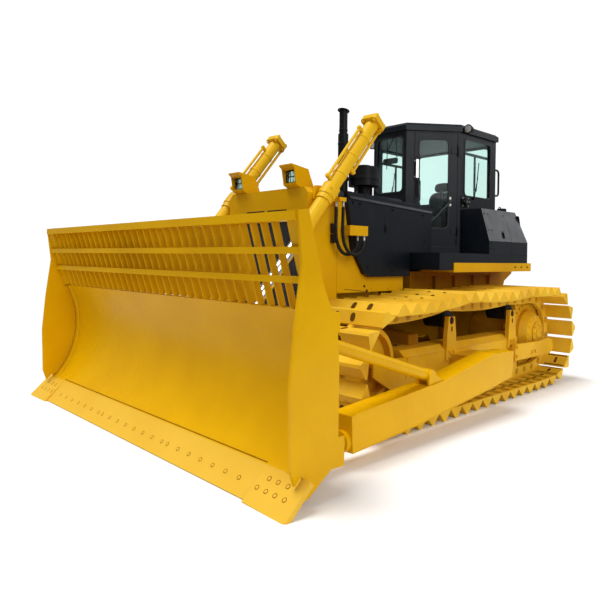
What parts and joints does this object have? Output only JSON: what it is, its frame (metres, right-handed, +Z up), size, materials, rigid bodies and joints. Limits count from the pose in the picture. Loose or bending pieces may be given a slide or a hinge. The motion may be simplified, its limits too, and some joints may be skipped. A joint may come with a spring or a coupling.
{
  "type": "bulldozer",
  "caption": "Crawler dozer with wide triangular-shoe tracks, straight blade with bar screen, push arms, two lift cylinders and a six-sided cab with side doors",
  "frame": {"origin": "on the ground under the middle of the machine's bounding box", "axes": "+Z up, the blade faces -Y, +X is the driver's left"},
  "size_m": [4.364, 6.0903, 3.41],
  "materials": {
    "yellow_paint": "semi-gloss construction yellow paint",
    "charcoal_paint": "satin charcoal paint",
    "tinted_glass": "pale green tinted safety glass",
    "seat_fabric": "black seat cloth",
    "lamp_chrome": "lamp reflector and lens",
    "black_steel": "black wire mesh",
    "hose_rubber": "black hydraulic hose",
    "cab_plastic": "grained dark plastic",
    "dark_iron": "oiled bare iron"
  },
  "bodies": {
    "machine": {"air_cleaner": "charcoal_paint", "cab_frame": "charcoal_paint", "cab_glass": "tinted_glass", "cab_lamps": "charcoal_paint", "cab_roof": "charcoal_paint", "carrier_rollers": "yellow_paint", "consoles": "cab_plastic", "dash_boxes": "charcoal_paint", "deck_carrier": "yellow_paint", "drawbar": "yellow_paint", "engine_block": "dark_iron", "equalizer_bar": "yellow_paint", "exhaust_stack": "charcoal_paint", "fender_rails": "yellow_paint", "final_drives": "yellow_paint", "fuel_tank": "charcoal_paint", "grille": "black_steel", "handrails": "charcoal_paint", "hood": "yellow_paint", "hood_sides": "yellow_paint", "hose_bracket": "yellow_paint", "hose_front_left": "hose_rubber", "hose_front_right": "hose_rubber", "hose_rear_left": "hose_rubber", "hose_rear_right": "hose_rubber", "idlers": "yellow_paint", "lamp_boxes": "yellow_paint", "lamps": "lamp_chrome", "main_frame": "yellow_paint", "platform": "charcoal_paint", "radiator": "dark_iron", "radiator_guard": "yellow_paint", "seat": "seat_fabric", "seat_base": "cab_plastic", "side_boxes": "charcoal_paint", "sprockets": "dark_iron", "track_frame_left": "yellow_paint", "track_frame_right": "yellow_paint", "track_left": "yellow_paint", "track_right": "yellow_paint", "track_rollers": "yellow_paint"},
    "blade": {"moldboard": "yellow_paint", "side_plates": "yellow_paint", "cutting_edge": "yellow_paint", "trash_rack": "yellow_paint", "blade_back": "yellow_paint", "push_arm_left": "yellow_paint", "push_arm_right": "yellow_paint", "tilt_brace": "yellow_paint", "tilt_cylinder": "yellow_paint"},
    "lift_barrel_left": {"lift_cylinder_left": "yellow_paint"},
    "lift_barrel_right": {"lift_cylinder_right": "yellow_paint"},
    "lift_piston_left": {"lift_rod_left": "yellow_paint"},
    "lift_piston_right": {"lift_rod_right": "yellow_paint"},
    "left_door": {"door_left": "charcoal_paint", "door_glass_left": "tinted_glass", "door_handle_left": "charcoal_paint"},
    "right_door": {"door_right": "charcoal_paint", "door_glass_right": "tinted_glass", "door_handle_right": "charcoal_paint"}
  },
  "joints": [
    {"name": "blade_lift", "type": "hinge", "parent": "machine", "child": "blade", "pos_m": [0, 0.4755, 0.505], "axis": [-1, 0, 0], "range_deg": [-7.5, 17.5]},
    {"name": "lift_cylinder_left_swing", "type": "hinge", "parent": "machine", "child": "lift_barrel_left", "pos_m": [0.779, -1.1845, 2.29], "axis": [-1, 0, 0], "range_deg": [-7.6, 17.2]},
    {"name": "lift_rod_left_slide", "type": "slide", "parent": "lift_barrel_left", "child": "lift_piston_left", "axis": [0, -0.6541, -0.7564], "range_m": [-0.745, 0.321]},
    {"name": "door_left_hinge", "type": "hinge", "parent": "machine", "child": "left_door", "pos_m": [0.6879, 1.3949, 2.5], "axis": [0, 0, 1], "range_deg": [0, 100]},
    {"name": "lift_cylinder_right_swing", "type": "hinge", "parent": "machine", "child": "lift_barrel_right", "pos_m": [-0.779, -1.1845, 2.29], "axis": [-1, 0, 0], "range_deg": [-7.6, 17.2]},
    {"name": "lift_rod_right_slide", "type": "slide", "parent": "lift_barrel_right", "child": "lift_piston_right", "axis": [0, -0.6541, -0.7564], "range_m": [-0.745, 0.321]},
    {"name": "door_right_hinge", "type": "hinge", "parent": "machine", "child": "right_door", "pos_m": [-0.6879, 1.3949, 2.5], "axis": [0, 0, -1], "range_deg": [0, 100]}
  ],
  "couplings": [
    {"joint": "lift_cylinder_left_swing", "follows": "blade_lift", "ratio": 0.96},
    {"joint": "lift_rod_left_slide", "follows": "blade_lift", "m_per_rad": -2.425},
    {"joint": "lift_cylinder_right_swing", "follows": "blade_lift", "ratio": 0.96},
    {"joint": "lift_rod_right_slide", "follows": "blade_lift", "m_per_rad": -2.425}
  ]
}
